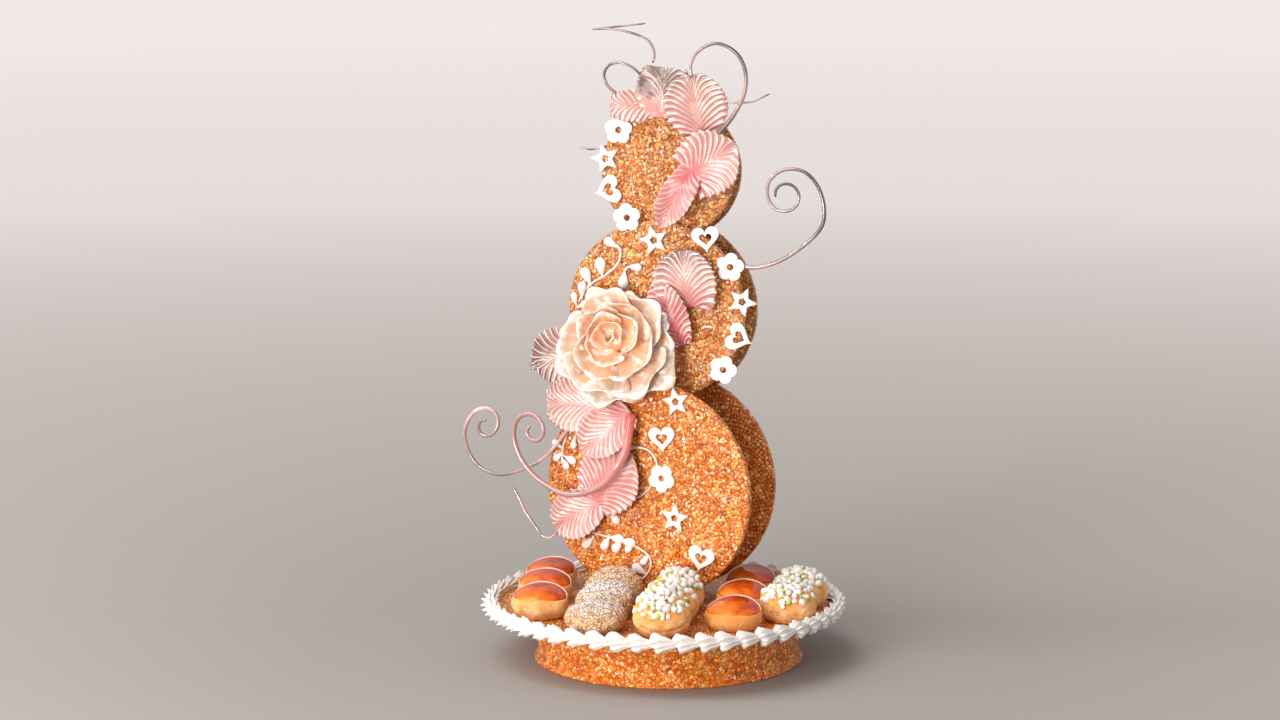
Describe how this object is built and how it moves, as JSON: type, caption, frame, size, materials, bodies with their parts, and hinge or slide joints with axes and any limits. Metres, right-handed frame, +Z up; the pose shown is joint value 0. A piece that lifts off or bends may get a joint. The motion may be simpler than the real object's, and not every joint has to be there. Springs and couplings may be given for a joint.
{
  "type": "nougatine piece montee",
  "caption": "Festive croquembouche centrepiece: upright nougatine discs on a plate of choux buns, dressed with a sugar rose, pulled-sugar leaves and curls and white motifs.",
  "frame": {"origin": "centre of the drum's flat underside, where the piece stands", "axes": "+Z up, -Y the way that the lowest pair of discs faces, +X to the right seen from the front"},
  "size_m": [0.3424, 0.3082, 0.5355],
  "materials": {
    "nougatine": "caramel set round chopped almonds, glossy and grainy",
    "royal_icing": "piped, satin",
    "pastillage": "cut sheet, matte",
    "pink_pulled_sugar": "pulled to a satin sheen",
    "peach_pulled_sugar": "pulled to a pearly sheen",
    "rose_grey_pulled_sugar": "pulled, high gloss",
    "coral_pulled_sugar": "pulled, high gloss",
    "caramel_glaze": "poured caramel, high gloss",
    "choux_pastry": "baked, matte",
    "craquelin": "cracked crust under icing sugar",
    "pearl_sugar": "sugar nibs, satin",
    "pistachio": "chopped, matte"
  },
  "bodies": {
    "root": {"chou_caramel_01": "caramel_glaze", "chou_caramel_02": "caramel_glaze", "chou_caramel_03": "caramel_glaze", "chou_caramel_10": "caramel_glaze", "chou_caramel_11": "caramel_glaze", "chou_caramel_12": "caramel_glaze", "chou_craquelin_04": "craquelin", "chou_craquelin_05": "craquelin", "chou_craquelin_06": "craquelin", "chou_pearl_07": "choux_pastry", "chou_pearl_08": "choux_pastry", "chou_pearl_09": "choux_pastry", "chou_pearl_13": "choux_pastry", "chou_pearl_14": "choux_pastry", "curl_low_left": "rose_grey_pulled_sugar", "curl_low_ribbon": "coral_pulled_sugar", "curl_low_tip": "rose_grey_pulled_sugar", "curl_mid_right": "rose_grey_pulled_sugar", "curl_top_crown": "rose_grey_pulled_sugar", "curl_top_left": "rose_grey_pulled_sugar", "curl_top_right": "rose_grey_pulled_sugar", "curl_top_tendril": "rose_grey_pulled_sugar", "disc_low_back": "nougatine", "disc_low_front": "nougatine", "disc_mid_back": "nougatine", "disc_mid_front": "nougatine", "disc_top_back": "nougatine", "disc_top_front": "nougatine", "leaf_mid_left": "pink_pulled_sugar", "leaf_top_middle": "pink_pulled_sugar", "leaves_low_middle": "pink_pulled_sugar", "leaves_low_upper": "pink_pulled_sugar", "leaves_mid_right": "pink_pulled_sugar", "leaves_top_left": "pink_pulled_sugar", "leaves_top_right": "pink_pulled_sugar", "motif_blossom_02": "pastillage", "motif_blossom_05": "pastillage", "motif_blossom_08": "pastillage", "motif_blossom_11": "pastillage", "motif_blossom_14": "pastillage", "motif_heart_01": "pastillage", "motif_heart_04": "pastillage", "motif_heart_07": "pastillage", "motif_heart_10": "pastillage", "motif_heart_13": "pastillage", "motif_heart_16": "pastillage", "motif_star_03": "pastillage", "motif_star_06": "pastillage", "motif_star_09": "pastillage", "motif_star_12": "pastillage", "motif_star_15": "pastillage", "nougatine_drum": "nougatine", "nougatine_plate": "nougatine", "piped_border": "royal_icing", "sprig_low_foot": "royal_icing", "sprig_low_left": "royal_icing", "sprig_low_loop": "royal_icing", "sprig_mid_left": "royal_icing", "sprig_mid_rose": "royal_icing", "sugar_rose": "peach_pulled_sugar"}
  },
  "joints": []
}
